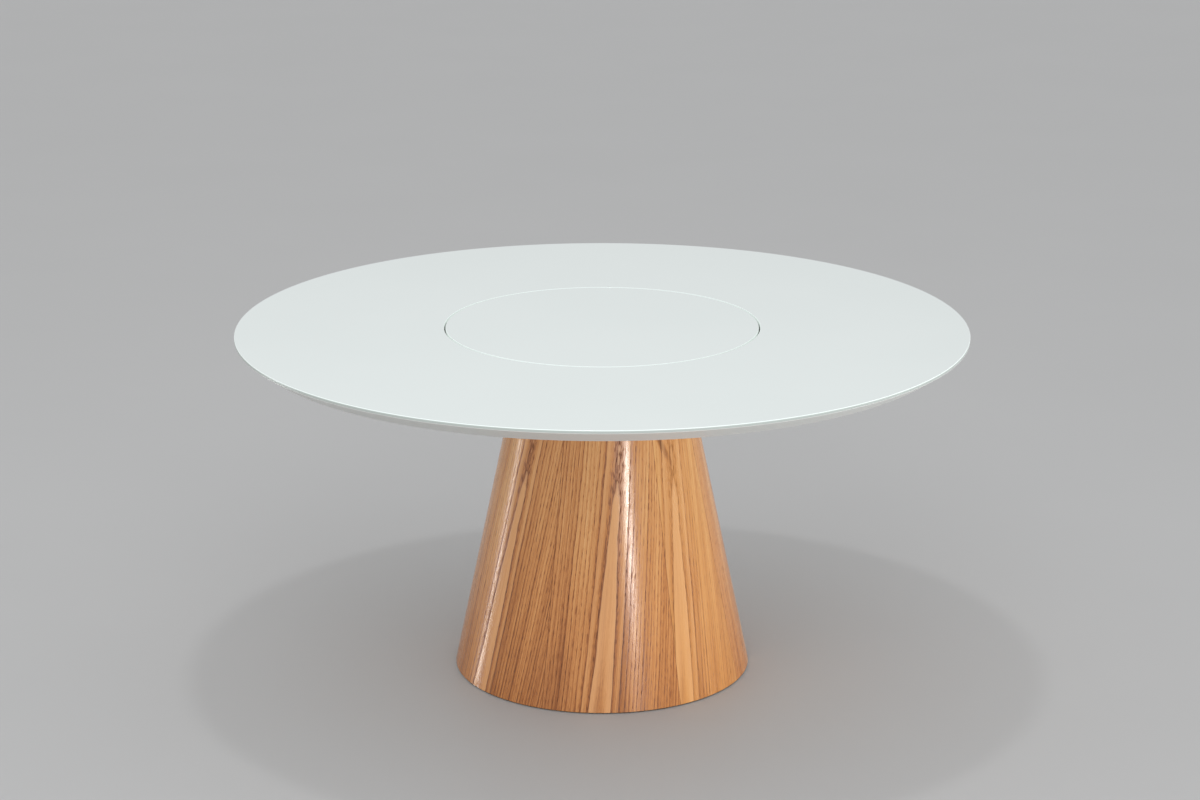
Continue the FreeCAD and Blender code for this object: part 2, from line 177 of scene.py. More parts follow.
class Graph:
    """The shader nodes of one material."""

    def __init__(self, name: str) -> None:
        """Starts a material with its surface shader and nothing linked to it.

        Args:
            name: The material's name.
        """
        self.material = bpy.data.materials.new(name)
        self.material.use_nodes = True
        self.tree = self.material.node_tree
        self.shader = self.tree.nodes["Principled BSDF"]

    def node(self, kind: str, settings: dict[str, Any] | None = None,
             inputs: dict[str | int, Any] | None = None, output: str | int = 0) -> Signal:
        """Adds one node.

        Args:
            kind: The node's type name.
            settings: Attributes to set first; stops holds a ramp's (place, colour) pairs.
            inputs: Values or signals for its sockets, by name or by number.
            output: The output to hand back.

        Returns:
            That output, ready for arithmetic.
        """
        made = self.tree.nodes.new(kind)
        for name, value in (settings or {}).items():
            if name == "stops":
                self._set_stops(made.color_ramp, value)
            else:
                setattr(made, name, value)
        self._feed(made, inputs or {})
        return Signal(self, made.outputs[output])

    def _feed(self, node: Node, inputs: dict[str | int, Any]) -> None:
        """Sets or links a node's sockets.

        Args:
            node: The node.
            inputs: Values or signals, by socket name or number.
        """
        for name, value in inputs.items():
            if isinstance(value, Signal):
                self.tree.links.new(value.socket, node.inputs[name])
            else:
                node.inputs[name].default_value = value

    @staticmethod
    def _set_stops(ramp: ColorRamp, stops: list[tuple[float, Colour]]) -> None:
        """Gives a ramp its stops.

        Args:
            ramp: The ramp, which starts with two stops.
            stops: Places from 0 to 1, in order, with their colours.
        """
        while len(ramp.elements) < len(stops):
            ramp.elements.new(1.0)
        for element, (place, colour) in zip(ramp.elements, stops):
            element.position = place
            element.color = colour

    def maths(self, operation: str, *values: Signal | float) -> Signal:
        """Adds a Math node for one operation on signals or numbers."""
        return self.node("ShaderNodeMath", {"operation": operation}, dict(enumerate(values)))

    def place(self) -> tuple[Signal, Signal, Signal]:
        """Position of a surface point in the table's frame, which turns with its body."""
        point = self.node("ShaderNodeTexCoord", output="Object")
        apart = self.node("ShaderNodeSeparateXYZ", inputs={"Vector": point})
        return apart.output("X"), apart.output("Y"), apart.output("Z")

    def noise(self, x: Signal | float, y: Signal | float, z: Signal | float,
              detail: float = 2.0, roughness: float = 0.5) -> Signal:
        """Cloudy noise.

        Args:
            x: First coordinate, in noise cells.
            y: Second coordinate, in noise cells.
            z: Third coordinate, in noise cells, or a seed.
            detail: Octaves of finer noise.
            roughness: Strength of each finer octave.

        Returns:
            Values about 0.5, from 0 to 1.
        """
        cells = self.node("ShaderNodeCombineXYZ", inputs={"X": x, "Y": y, "Z": z})
        inputs = {"Vector": cells, "Scale": 1.0, "Detail": detail, "Roughness": roughness}
        return self.node("ShaderNodeTexNoise", {"noise_dimensions": "3D"}, inputs)

    def mottle(self, scale: float, detail: float = 2.0) -> Signal:
        """Cloudy noise that is even in all directions, with scale as its cells to the metre."""
        x, y, z = self.place()
        return self.noise(x * scale, y * scale, z * scale, detail)

    def draw(self, number: Signal) -> Signal:
        """One fixed random value from 0 to 1 for each whole number."""
        return self.node("ShaderNodeTexWhiteNoise", {"noise_dimensions": "1D"}, {"W": number})

    def blend(self, share: Signal | float, first: Signal | Colour, second: Signal | Colour) -> Signal:
        """Mixes two colours, with share as the share of the second."""
        return self.node("ShaderNodeMix", {"data_type": "RGBA"}, {0: share, 6: first, 7: second}, 2)

    def ramp(self, share: Signal, *stops: tuple[float, Colour]) -> Signal:
        """Colour at a place from 0 to 1 on a ramp, whose stops are places and colours in order."""
        return self.node("ShaderNodeValToRGB", {"stops": list(stops)}, {"Fac": share})

    def bump(self, height: Signal, depth: float, strength: float) -> Signal:
        """Normal of a surface with fine relief of a depth in metres, of which a share shows."""
        return self.node("ShaderNodeBump", {}, {"Strength": strength, "Distance": depth, "Height": height})

    def surface(self, sockets: dict[str, Any]) -> None:
        """Sets or links the sockets of the surface shader."""
        self._feed(self.shader, sockets)


def from_axis(x: Signal, y: Signal) -> Signal:
    """Distance of a surface point from the table's axis."""
    return (x * x + y * y).root()


class Finish:
    """A surface finish, whose material is made once."""

    name: str

    def material(self) -> Material:
        """The finish's material, made at the first call."""
        known = bpy.data.materials.get(self.name)
        if known is None:
            graph = Graph(self.name)
            self.paint(graph)
            known = graph.material
        return known

    def paint(self, graph: Graph) -> None:
        """Fills a graph with the finish's nodes."""
        raise NotImplementedError


@dataclass(frozen=True)
class PaintedGlass(Finish):
    """Toughened glass with white paint on its underside and polished edges."""

    name: str = "white_painted_glass"
    top: float = 0.78
    arris: float = 0.0015
    gap_reach: float = 0.355
    gap_blur: float = 0.005
    paints: tuple[Colour, Colour] = (srgb(228, 237, 236), srgb(233, 241, 240))
    edge_colour: Colour = srgb(176, 184, 180)
    # Painted glow: the colour and strength of emission that stands in for light; the glass is no lamp.
    glow_colour: Colour = srgb(226, 236, 232)
    dark: Colour = (0.0, 0.0, 0.0, 1.0)
    glow: float = 0.48
    rim_painted_glow_share: float = 0.6

    def paint(self, graph: Graph) -> None:
        """Lays the paint seen through the glass, the greyer edge and the faint waves of toughening.

        The rim's arris and the edges at the turntable's gap have a painted glow: emission that stands in
        for the light that the glass carries to them.

        Args:
            graph: The material's graph.
        """
        x, y, z = graph.place()
        below = (self.top - z) / self.arris
        edge = below.rise(0.3, 1.0)
        # Painted glow: the arris band and the gap's edges emit light, as painted highlights; they are no
        # lamp.
        rim = below.rise(0.1, 0.4) * below.rise(1.6, 1.0)
        at_gap = from_axis(x, y).rise(self.gap_reach, self.gap_reach - self.gap_blur)
        painted_glow_mask = (edge * at_gap).at_least(self.rim_painted_glow_share * rim)
        cloud = graph.noise(x * 2.5, y * 2.5, 0.0, 3.0)
        wave = graph.noise(x * 6.0, y * 6.0, 4.0, 1.0)
        haze = graph.noise(x * 30.0, y * 30.0, 9.0, 3.0)
        graph.surface({
            "Base Color": graph.blend(edge, graph.blend(cloud, *self.paints), self.edge_colour),
            "Roughness": 0.035 + 0.03 * haze + 0.3 * edge,
            "IOR": 1.52,
            "Emission Color": graph.blend(painted_glow_mask, self.dark, self.glow_colour),
            "Emission Strength": self.glow,
            "Normal": graph.bump(wave, depth=0.0004, strength=0.1),
        })


@dataclass(frozen=True)
class Lacquer(Finish):
    """White satin lacquer sprayed on fibreboard."""

    name: str = "white_satin_lacquer"
    shades: tuple[Colour, Colour] = (srgb(207, 209, 206), srgb(213, 215, 212))

    def paint(self, graph: Graph) -> None:
        """Sprays the lacquer with its slight orange peel.

        Args:
            graph: The material's graph.
        """
        peel = graph.mottle(420.0)
        graph.surface({
            "Base Color": graph.blend(graph.mottle(6.0, detail=3.0), *self.shades),
            "Roughness": 0.26 + 0.1 * peel,
            "Normal": graph.bump(peel, depth=0.00012, strength=0.25),
        })


@dataclass(frozen=True)
class Grain:
    """Noise stretched along the grain, in cells to the metre across and along it."""

    across: float
    along: float
    seed: float = 0.0
    detail: float = 2.0
    roughness: float = 0.5

    def over(self, graph: Graph, across: Signal, z: Signal, seed: float) -> Signal:
        """Lays the noise, from -0.5 to 0.5, over a leaf that has a seed of its own."""
        cells = across * self.across, z * self.along, seed + self.seed
        return graph.noise(*cells, self.detail, self.roughness) - 0.5


@dataclass(frozen=True)
class OakFigure:
    """Figure that every leaf shares, because they were cut one after another from the same log.

    The taper of the log, the lean of the cut and the crown's drift aside are slopes. Closing is how far the
    figure closes up with the cone, from 0 to 1, and at the reference radius it has its true width. Each pair
    is a half width, from the crown's middle or a joint's, over which a zone fades.
    """

    ring_width: float = 0.0066
    pith_depth: float = 0.060
    arch_height: float = 0.53
    taper: float = 0.007
    lean: float = 0.09
    offset: float = 0.026
    drift: float = 0.09
    closing: float = 0.55
    reference_radius: float = 0.27
    crown_half: Pair = (0.02, 0.07)
    calm_half: Pair = (0.01, 0.08)
    late_half: Pair = (0.045, 0.015)
    joint_half: Pair = (0.0008, 0.0002)
    first_ring: float = 40.0
    sway_depth: float = 0.009
    ripple_depth: float = 0.0035
    pores: Grain = Grain(600.0, 64.0, detail=1.0)
    fibres: Grain = Grain(420.0, 7.0, seed=3.0, detail=3.0, roughness=0.6)
    streaks: Grain = Grain(38.0, 0.9, seed=7.0)
    clouds: Grain = Grain(9.0, 2.5, seed=11.0)
    sway: Grain = Grain(7.0, 1.6, seed=20.0)
    ripple: Grain = Grain(30.0, 11.0, seed=30.0)


@dataclass(frozen=True)
class MineralStreak:
    """Dark streak that slants down from a place beside the crown, near a leaf's upper end."""

    strength: float
    aside: float = -0.011
    top: float = 0.575
    slant: float = 0.4
    half_width: Pair = (0.011, 0.002)
    lower_end: Pair = (0.5, 0.56)

    def over(self, angle: Signal, radius: Signal, z: Signal) -> Signal:
        """Lays the streak over a leaf: its strength inside it and 0 elsewhere."""
        apart = angle * radius - self.aside - self.slant * (self.top - z)
        return self.strength * abs(apart).rise(*self.half_width) * z.rise(*self.lower_end)


@dataclass(frozen=True)
class OakLeaf(Finish):
    """One leaf of crown-cut oak veneer, stained honey and varnished satin.

    The crown is an angle round the cone, in degrees, and the edges are angles from the crown.
    """

    name: str
    crown: float
    edges: Pair
    seed: float
    tone: float = 0.0
    gold_and_sheen: float = 0.0
    contrast: float = 1.0
    flanks: Pair = (0.0, 0.0)
    mineral: MineralStreak | None = None
    figure: OakFigure = OakFigure()
    stain: tuple[tuple[float, Colour], ...] = (
        (0.0, srgb(108, 60, 28)),
        (0.3, srgb(152, 92, 48)),
        (0.55, srgb(192, 129, 74)),
        (0.78, srgb(212, 154, 97)),
        (1.0, srgb(230, 183, 126)),
    )
    late_wood: Colour = srgb(224, 170, 120)
    gold_and_sheen_wood: Colour = srgb(216, 158, 84)

    def paint(self, graph: Graph) -> None:
        """Draws arched growth rings, pores and fibres about the leaf's crown, and joints at its edges.

        Args:
            graph: The material's graph.
        """
        figure = self.figure
        near, far = figure.crown_half
        x, y, z = graph.place()
        radius = from_axis(x, y)
        angle = self._turn(graph, x, y)
        across = self._unroll(angle, radius, z)
        rings = self._rings(graph, across, z)
        number = rings.floor()
        phase = rings - number
        speck, fibre, streak, cloud = (
            grain.over(graph, across, z, self.seed)
            for grain in (figure.pores, figure.fibres, figure.streaks, figure.clouds)
        )
        speck = speck.rise(0.0, 0.16)
        early = ((1 - phase) ** 4.0).at_least(phase.rise(0.94, 1.0))
        weight = (0.3 + 0.7 * graph.draw(number + self.seed)).at_least(1.1 * abs(across).rise(far, near))
        line = early * weight * (0.75 + 0.6 * speck)
        pore = speck * (0.3 + 0.7 * early)
        joint = self._joint(angle, radius)
        heart = across.rise(-near, -far) * self.flanks[0] + across.rise(near, far) * self.flanks[1]
        # Painted light: 0.48 * z lightens the veneer towards the top, offsetting the shade that the table
        # top casts on the upper cone.
        tone = (0.54 + self.tone) + 0.48 * z + 0.6 * streak + 0.55 * fibre + 0.25 * cloud - heart
        tone = tone - self.contrast * (0.58 * line + 0.26 * pore) - 0.5 * joint
        if self.mineral:
            tone = tone - self.mineral.over(angle, radius, z)
        late = phase.rise(0.3, 0.8) * abs(across).rise(*figure.late_half)
        wood = graph.blend(0.55 * late, graph.ramp(tone, *self.stain), self.late_wood)
        relief = 1 - 0.35 * pore - 0.2 * early + 0.2 * fibre - 0.6 * joint
        graph.surface({
            # The gold blend is partly the leaf's own golden tone and partly a painted sheen on the side lit
            # by the right lamps.
            "Base Color": graph.blend(self.gold_and_sheen * (0.5 + streak + cloud), wood, self.gold_and_sheen_wood),
            "Roughness": 0.17 + 0.2 * pore + 0.25 * line + 0.12 * fibre,
            "IOR": 1.5,
            "Normal": graph.bump(relief, depth=0.0004, strength=0.4),
        })

    def _turn(self, graph: Graph, x: Signal, y: Signal) -> Signal:
        """Angle round the cone from the leaf's crown, in radians."""
        cosine, sine = polar(1, math.radians(self.crown))
        return graph.maths("ARCTAN2", y * cosine - x * sine, x * cosine + y * sine)

    def _unroll(self, angle: Signal, radius: Signal, z: Signal) -> Signal:
        """Lays the cone flat about the leaf's crown.

        Args:
            angle: Angle from the crown.
            radius: Distance from the table's axis.
            z: Height on the table.

        Returns:
            Distance from the crown across the grain, which closes up with the cone and drifts up the leaf.
        """
        figure = self.figure
        flat = angle * radius ** figure.closing * figure.reference_radius ** (1 - figure.closing)
        return flat + figure.offset - figure.drift * z

    def _joint(self, angle: Signal, radius: Signal) -> Signal:
        """Thin joints where the leaf meets its neighbours: 1 in them and 0 elsewhere."""
        first, last = (abs(angle - math.radians(edge)) * radius for edge in self.edges)
        return first.rise(*self.figure.joint_half).at_least(last.rise(*self.figure.joint_half))

    def _rings(self, graph: Graph, across: Signal, z: Signal) -> Signal:
        """Counts growth rings over the leaf.

        Args:
            graph: The material's graph.
            across: Distance from the crown across the grain.
            z: Height on the table.

        Returns:
            The ring number, with its fraction.
        """
        figure = self.figure
        away = abs(across).rise(*figure.calm_half)
        sway = figure.sway_depth * figure.sway.over(graph, across, z, self.seed)
        ripple = figure.ripple_depth * figure.ripple.over(graph, across, z, self.seed)
        upright = math.sqrt(1 - figure.lean ** 2)
        from_pith = across - figure.lean * figure.pith_depth / upright
        depth = (from_pith * from_pith + figure.pith_depth ** 2).root() + figure.lean * from_pith
        depth = depth + figure.taper * z + sway * away + ripple * (0.5 + 0.5 * away)
        start = figure.pith_depth * upright + figure.taper * figure.arch_height
        rings = (depth - start) / figure.ring_width + figure.first_ring
        uneven = graph.noise(rings * 0.6, self.seed, 5.0, 1.0) - 0.5
        return rings + 0.9 * uneven * away


class Lay(Enum):
    """Which way the layers of a plywood piece are stacked."""

    FLAT = "one above the other"
    RIB = "side by side across a rib"
    CONE = "through the wall of the cone"


@dataclass(frozen=True)
class Plywood(Finish):
    """Bare plywood, whose layers show on its cut edges. The first rib's angle is in degrees."""

    name: str
    lay: Lay
    start: float = 0.0
    ply: float = 0.0014
    face_share: float = 0.02
    rib_count: int = 8
    rib_first: float = 22.5
    cone_foot: float = 0.33
    cone_top: float = 0.176
    cone_height: float = 0.726
    light: tuple[Colour, Colour] = (srgb(196, 158, 112), srgb(224, 192, 148))
    dark: tuple[Colour, Colour] = (srgb(150, 108, 68), srgb(184, 142, 96))
    knot_colour: Colour = srgb(170, 122, 78)
    glue_colour: Colour = srgb(84, 56, 34)

    def paint(self, graph: Graph) -> None:
        """Stacks light and dark layers with thin glue lines, and adds the grain of each layer.

        Args:
            graph: The material's graph.
        """
        x, y, z = graph.place()
        radius = from_axis(x, y)
        layers = self._depth(graph, x, y, z, radius) / self.ply + self.face_share
        number = layers.floor()
        crossed = number - 2 * (number * 0.5).floor()
        glue = abs(layers - number - 0.5).rise(0.42, 0.5)
        grain = graph.noise(x * 26.0 + y * 190.0, radius * 210.0, z * 16.0 + number, 3.0, 0.6)
        knot = graph.noise(x * 9.0, y * 9.0, z * 5.0 + number).rise(0.55, 0.8)
        wood = graph.blend(0.8 * crossed, graph.blend(grain, *self.light), graph.blend(grain, *self.dark))
        wood = graph.blend(0.3 * knot, wood, self.knot_colour)
        graph.surface({
            "Base Color": graph.blend(0.6 * glue, wood, self.glue_colour),
            "Roughness": 0.62 + 0.2 * grain,
            "Normal": graph.bump(grain - 0.4 * glue, depth=0.0003, strength=0.3),
        })

    def _depth(self, graph: Graph, x: Signal, y: Signal, z: Signal, radius: Signal) -> Signal:
        """Depth through the layers.

        Args:
            graph: The material's graph.
            x: Position along X.
            y: Position along Y.
            z: Height on the table.
            radius: Distance from the table's axis.

        Returns:
            The distance from the first layer's face.
        """
        if self.lay is Lay.FLAT:
            return z - self.start
        if self.lay is Lay.CONE:
            slope = (self.cone_foot - self.cone_top) / self.cone_height
            return (self.cone_foot - slope * z - radius) / math.hypot(1, slope) - self.start
        pitch = math.tau / self.rib_count
        turn = graph.maths("ARCTAN2", y, x) - math.radians(self.rib_first)
        nearest = (turn / pitch + 0.5).floor() * pitch
        return radius * (turn - nearest).sine() - self.start


@dataclass(frozen=True)
class TurnedMetal(Finish):
    """Metal turned on a lathe, with fine rings left by the tool."""

    name: str
    colour: Colour
    roughness: float = 0.28

    def paint(self, graph: Graph) -> None:
        """Cuts the tool's rings about the table's axis.

        Args:
            graph: The material's graph.
        """
        x, y, z = graph.place()
        mark = graph.noise(from_axis(x, y) * 5200.0, z * 2600.0, 0.0)
        stain = graph.mottle(60.0, detail=3.0)
        graph.surface({
            "Base Color": graph.blend(stain, darker(self.colour, 0.8), self.colour),
            "Metallic": 1.0,
            "Roughness": self.roughness + 0.16 * (mark - 0.5),
            "Normal": graph.bump(mark, depth=0.00005, strength=0.4),
        })


@dataclass(frozen=True)
class ZincPlate(Finish):
    """Zinc-plated steel with a cloudy, slightly coloured skin."""

    name: str
    colour: Colour
    tint: Colour

    def paint(self, graph: Graph) -> None:
        """Clouds the plating.

        Args:
            graph: The material's graph.
        """
        cloud = graph.mottle(240.0, detail=3.0)
        grit = graph.mottle(2400.0)
        graph.surface({
            "Base Color": graph.blend(cloud.rise(0.35, 0.65), self.colour, self.tint),
            "Metallic": 1.0,
            "Roughness": 0.26 + 0.14 * cloud,
            "Normal": graph.bump(grit, depth=0.00004, strength=0.3),
        })


@dataclass(frozen=True)
class PolishedSteel(Finish):
    """Hardened steel, ground and polished."""

    name: str = "polished_ball_steel"
    shades: tuple[Colour, Colour] = (srgb(196, 198, 202), srgb(222, 223, 226))

    def paint(self, graph: Graph) -> None:
        """Polishes the steel and leaves a faint film of grease.

        Args:
            graph: The material's graph.
        """
        film = graph.mottle(500.0, detail=3.0)
        graph.surface({
            "Base Color": graph.blend(film, *self.shades),
            "Metallic": 1.0,
            "Roughness": 0.06 + 0.14 * film.rise(0.5, 0.75),
        })


@dataclass(frozen=True)
class Nylon(Finish):
    """Moulded nylon with a fine matt grain."""

    name: str
    colour: Colour

    def paint(self, graph: Graph) -> None:
        """Adds the mould's grain and slight clouding.

        Args:
            graph: The material's graph.
        """
        grain = graph.mottle(1800.0)
        cloud = graph.mottle(120.0)
        graph.surface({
            "Base Color": graph.blend(cloud, darker(self.colour, 0.82), self.colour),
            "Roughness": 0.42 + 0.18 * grain,
            "Normal": graph.bump(grain, depth=0.00006, strength=0.3),
        })


@dataclass(frozen=True)
class FloorPaint(Finish):
    """Pale matt floor of the studio."""

    name: str = "pale_studio_floor"
    shades: tuple[Colour, Colour] = ((0.56, 0.565, 0.57, 1.0), (0.58, 0.585, 0.59, 1.0))

    def paint(self, graph: Graph) -> None:
        """Paints the floor with a barely visible mottle."""
        mottle = graph.mottle(1.5, detail=3.0)
        graph.surface({"Base Color": graph.blend(mottle, *self.shades), "Roughness": 0.62})


def add(name: str, data: ID) -> Object:
    """Puts a new object into the scene.

    Args:
        name: The object's name.
        data: Its mesh, light or camera.

    Returns:
        The object.
    """
    made = bpy.data.objects.new(name, data)
    bpy.context.scene.collection.objects.link(made)
    return made


def shape(name: str, mesh: BMesh) -> Object:
    """Makes an object from a drawn mesh, with its faces turned outward.

    Args:
        name: The object's name.
        mesh: The mesh, which is freed.

    Returns:
        The object.
    """
    bmesh.ops.recalc_face_normals(mesh, faces=mesh.faces)
    data = bpy.data.meshes.new(name)
    mesh.to_mesh(data)
    mesh.free()
    return add(name, data)


def stand_in(made: Object, node: str, finish: Finish) -> None:
    """Lets a new piece take the place of a packed one, on the same body.

    Args:
        made: The new piece.
        node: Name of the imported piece.
        finish: The finish to give it.
    """
    made.data.materials.append(finish.material())
    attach(made, frame["nodes"][node].parent.name.split(":")[-1])
    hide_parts(node)
    LOG.info("%s: %s", made.name, finish.name)


def dress(finish: Finish, *nodes: str) -> None:
    """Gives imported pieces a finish.

    Args:
        finish: The finish.
        nodes: Names of the pieces.
    """
    for node in nodes:
        for slot in frame["nodes"][node].material_slots:
            slot.material = finish.material()
        LOG.info("%s: %s", node, finish.name)


def numbered(name: str) -> list[str]:
    """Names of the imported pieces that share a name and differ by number, in order."""
    return sorted(node for node in frame["nodes"] if node.startswith(name + "_") and node[-2:].isdigit())


def clear_reach(node: str) -> float:
    """Radius of the largest disc about the table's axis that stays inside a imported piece's box."""
    low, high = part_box(node)
    return min(high.x, high.y, -low.x, -low.y)


@dataclass(frozen=True)
class Corner:
    """Corner of a turned outline: its radius, its height, and how far it is rounded."""

    radius: float
    height: float
    rounding: float = 0.0

    @property
    def point(self) -> Vector:
        """Place of the corner, as (radius, height)."""
        return Vector((self.radius, self.height))


@dataclass(frozen=True)
class Turning:
    """A piece turned about the table's axis from a closed outline of corners."""

    name: str
    corners: tuple[Corner, ...]
    segments: int = 256
    arc_steps: int = 6

    def outline(self) -> list[Vector]:
        """Outline of the piece with its corners rounded.

        Returns:
            (radius, height) points, in order.
        """
        points = []
        for number, corner in enumerate(self.corners):
            if corner.rounding == 0:
                points.append(corner.point)
            else:
                after = self.corners[(number + 1) % len(self.corners)]
                points += self._arc(corner, self.corners[number - 1], after)
        return points

    def _arc(self, corner: Corner, before: Corner, after: Corner) -> list[Vector]:
        """Points of the arc that rounds one corner.

        Args:
            corner: The corner.
            before: The corner before it.
            after: The corner after it.

        Returns:
            The arc's points, in order.
        """
        here = corner.point
        back = (before.point - here).normalized()
        ahead = (after.point - here).normalized()
        half = back.angle(ahead) / 2
        reach = corner.rounding / math.tan(half)
        centre = here + (back + ahead).normalized() * (corner.rounding / math.sin(half))
        start = here + back * reach - centre
        sweep = start.angle_signed(here + ahead * reach - centre)
        turns = [-sweep * step / self.arc_steps for step in range(self.arc_steps + 1)]
        return [centre + Matrix.Rotation(turn, 2) @ start for turn in turns]

    def piece(self) -> Object:
        """Turns the outline and makes the object.

        Returns:
            The object, smooth, with the normals of its flat faces kept flat.
        """
        mesh = bmesh.new()
        rings = [self._ring(mesh, point) for point in self.outline()]
        for first, second in zip(rings, rings[1:] + rings[:1]):
            self._skin(mesh, first, second)
        for face in mesh.faces:
            face.smooth = True
        made = shape(self.name, mesh)
        made.modifiers.new("flat_faces_stay_flat", "WEIGHTED_NORMAL")
        return made

    def _ring(self, mesh: BMesh, point: Vector) -> list[BMVert]:
        """Vertices of one outline point, carried round the axis.

        Args:
            mesh: The mesh under construction.
            point: The (radius, height) point.

        Returns:
            One vertex on the axis, or a full ring.
        """
        if point.x == 0:
            return [mesh.verts.new((0, 0, point.y))]
        turns = [math.tau * number / self.segments for number in range(self.segments)]
        return [mesh.verts.new((*polar(point.x, turn), point.y)) for turn in turns]

    def _skin(self, mesh: BMesh, first: list[BMVert],
              second: list[BMVert]) -> None:
        """Joins two rings with faces.

        Args:
            mesh: The mesh under construction.
            first: One ring, or a vertex on the axis.
            second: The next ring, or a vertex on the axis.
        """
        if len(first) == 1 and len(second) == 1:
            return
        for number in range(self.segments):
            after = (number + 1) % self.segments
            if len(first) == 1:
                mesh.faces.new((first[0], second[number], second[after]))
            elif len(second) == 1:
                mesh.faces.new((second[0], first[after], first[number]))
            else:
                mesh.faces.new((first[number], second[number], second[after], first[after]))


@dataclass(frozen=True)
class Seat:
    """Where one fastener sits: its axis, its two ends, and which of them is its head."""

    x: float
    y: float
    low: float
    high: float
    head_up: bool

    @classmethod
    def around(cls, points: list[Vector]) -> "Seat":
        """Seat of one packed fastener.

        Args:
            points: Its vertices.

        Returns:
            The seat, with its head at the wider end.
        """
        low = Vector([min(values) for values in zip(*points)])
        high = Vector([max(values) for values in zip(*points)])
        middle = (low + high) / 2
        widest = max(points, key=lambda point: (point - middle).xy.length)
        return cls(middle.x, middle.y, low.z, high.z, widest.z > middle.z)

    @property
    def length(self) -> float:
        """Length of the fastener."""
        return self.high - self.low

    def put(self, x: float, y: float, depth: float) -> Vector:
        """Sets a point of the fastener in the table's frame.

        Args:
            x: Distance from the axis along X.
            y: Distance from the axis along Y.
            depth: Distance from the head's outer face.

        Returns:
            The point.
        """
        if self.head_up:
            return Vector((self.x + x, self.y + y, self.high - depth))
        return Vector((self.x + x, self.y - y, self.low + depth))


def seats(node: str) -> list[Seat]:
    """Finds every fastener of a packed group.

    Args:
        node: Name of the group.

    Returns:
        One seat for each separate solid.
    """
    mesh = bmesh.new()
    mesh.from_mesh(frame["nodes"][node].data)
    bmesh.ops.remove_doubles(mesh, verts=mesh.verts, dist=TINY)
    left = set(mesh.verts)
    found = []
    while left:
        island = [left.pop()]
        for vert in island:
            near = {edge.other_vert(vert) for edge in vert.link_edges} & left
            left -= near
            island += near
        found.append(Seat.around([vert.co for vert in island]))
    mesh.free()
    return found


@dataclass(frozen=True)
class Fastener:
    """A threaded fastener, drawn ring by ring from its head to its point.

    The points of a ring lie closer together along the arms of a cross recess.
    """

    shank: float
    head: float
    head_height: float
    pitch: float
    thread_depth: float
    thread_steps: int = 16
    root_share: float = 0.9
    flank_share: float = 0.4
    turns: tuple[float, ...] = tuple(
        math.radians(arm + step) for arm in (0, 90, 180, 270) for step in (-45, -30, -14, 0, 14, 30)
    )

    @property
    def core(self) -> float:
        """Radius at the foot of the thread."""
        return self.shank - self.thread_depth

    def group(self, node: str, slot: str, finish: Finish) -> None:
        """Replaces a packed group of fasteners by drawn ones.

        Args:
            node: Name of the group.
            slot: Its material slot; not used.
            finish: The finish to give it.
        """
        mesh = bmesh.new()
        for seat in seats(node):
            self._body(mesh, seat)
            self._thread(mesh, seat)
        stand_in(shape(f"{node}_drawn", mesh), node, finish)

    def _body(self, mesh: BMesh, seat: Seat) -> None:
        """Skins the rings of the head, the core and the point.

        Args:
            mesh: The mesh under construction.
            seat: Where the fastener sits.
        """
        rows = [[mesh.verts.new(seat.put(*point)) for point in ring] for ring in self._rings(seat.length)]
        for first, second in zip(rows, rows[1:]):
            for number in range(len(self.turns)):
                after = (number + 1) % len(self.turns)
                mesh.faces.new((first[number], first[after], second[after], second[number]))
        mesh.faces.new(rows[0])
        mesh.faces.new(rows[-1])

    def _ring(self, radius: float, depth: float) -> list[Point]:
        """Points of one round ring at a depth below the head's face."""
        return [(*polar(radius, turn), depth) for turn in self.turns]

    def _rings(self, length: float) -> list[list[Point]]:
        """Rings of the fastener from the middle of its head to its other end."""
        raise NotImplementedError

    def _span(self, length: float) -> Pair:
        """Depths at which the thread starts and ends."""
        raise NotImplementedError

    def _thread(self, mesh: BMesh, seat: Seat) -> None:
        """Winds the thread round the core.

        Args:
            mesh: The mesh under construction.
            seat: Where the fastener sits.
        """
        start, end = self._span(seat.length)
        steps = int((end - start) / self.pitch * self.thread_steps)
        root = self.root_share * self.core
        flank = self.flank_share * self.pitch
        before: list[BMVert] = []
        for step in range(steps + 1):
            turn = math.tau * step / self.thread_steps
            depth = start + self.pitch * step / self.thread_steps
            grown = min(1.0, step / self.thread_steps, (steps - step) / self.thread_steps)
            crest = self.core + self.thread_depth * grown
            corners = (root, depth - flank), (crest, depth), (root, depth + flank)
            here = [mesh.verts.new(seat.put(*polar(reach, turn), down)) for reach, down in corners]
            for first, second in ((0, 1), (1, 2), (2, 0)):
                if before:
                    mesh.faces.new((before[first], before[second], here[second], here[first]))
            if step in (0, steps):
                mesh.faces.new(here)
            before = here


